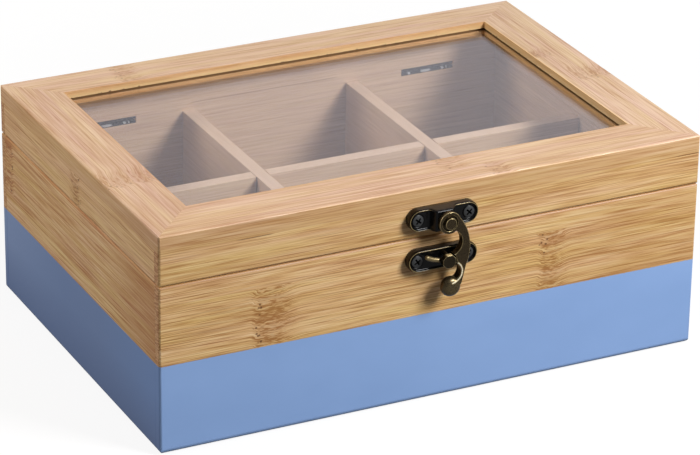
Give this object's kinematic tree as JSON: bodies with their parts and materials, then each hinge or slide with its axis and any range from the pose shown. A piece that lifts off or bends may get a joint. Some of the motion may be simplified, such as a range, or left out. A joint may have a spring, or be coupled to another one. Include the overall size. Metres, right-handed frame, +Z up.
{
  "type": "tea bag organizer box",
  "caption": "Bamboo tea bag box with a painted lower band, six compartments, a hinged lid with a clear window and a swinging hook clasp.",
  "frame": {"origin": "middle of the flat underside of the box", "axes": "+Z up, -Y towards the clasp at the front, +X to the right of someone who faces the clasp"},
  "size_m": [0.23, 0.1724, 0.09],
  "materials": {
    "base_boards": "satin lacquered bamboo; the lower 37 mm of the outside is painted matt light blue",
    "inner_bamboo": "plain sanded bamboo",
    "lid_boards": "satin lacquered bamboo",
    "frame_bamboo": "satin lacquered bamboo",
    "window_glass": "clear polished sheet",
    "hinge_steel": "plain plated steel",
    "clasp_black": "blackened steel with brass showing at the worn edges",
    "clasp_bronze": "antique bronze plating with bright worn edges"
  },
  "bodies": {
    "base": {"base_front_board": "base_boards", "base_back_board": "base_boards", "base_left_board": "base_boards", "base_right_board": "base_boards", "floor_panel": "inner_bamboo", "long_divider": "inner_bamboo", "cross_divider_left": "inner_bamboo", "cross_divider_right": "inner_bamboo", "hinge_left_base_leaf": "hinge_steel", "hinge_left_pin": "hinge_steel", "hinge_right_base_leaf": "hinge_steel", "hinge_right_pin": "hinge_steel", "base_leaf_screws": "hinge_steel", "clasp_base_plate": "clasp_black", "clasp_base_screws": "clasp_black", "clasp_catch": "clasp_bronze"},
    "lid": {"lid_front_rail": "lid_boards", "lid_back_rail": "lid_boards", "lid_left_rail": "lid_boards", "lid_right_rail": "lid_boards", "frame_front": "frame_bamboo", "frame_back": "frame_bamboo", "frame_left": "frame_bamboo", "frame_right": "frame_bamboo", "window_pane": "window_glass", "hinge_left_lid_leaf": "hinge_steel", "hinge_right_lid_leaf": "hinge_steel", "lid_leaf_screws": "hinge_steel", "clasp_lid_plate": "clasp_black", "clasp_lid_screws": "clasp_black", "clasp_rivet": "clasp_bronze"},
    "hook": {"clasp_hook": "clasp_bronze"}
  },
  "joints": [
    {"name": "lid_hinge", "type": "hinge", "parent": "base", "child": "lid", "pos_m": [0, 0.0817, 0.068], "axis": [-1, 0, 0], "range_deg": [0, 100]},
    {"name": "hook_swing", "type": "hinge", "parent": "lid", "child": "hook", "pos_m": [0.001, -0.087, 0.0773], "axis": [0, -1, 0], "range_deg": [0, 180]}
  ]
}
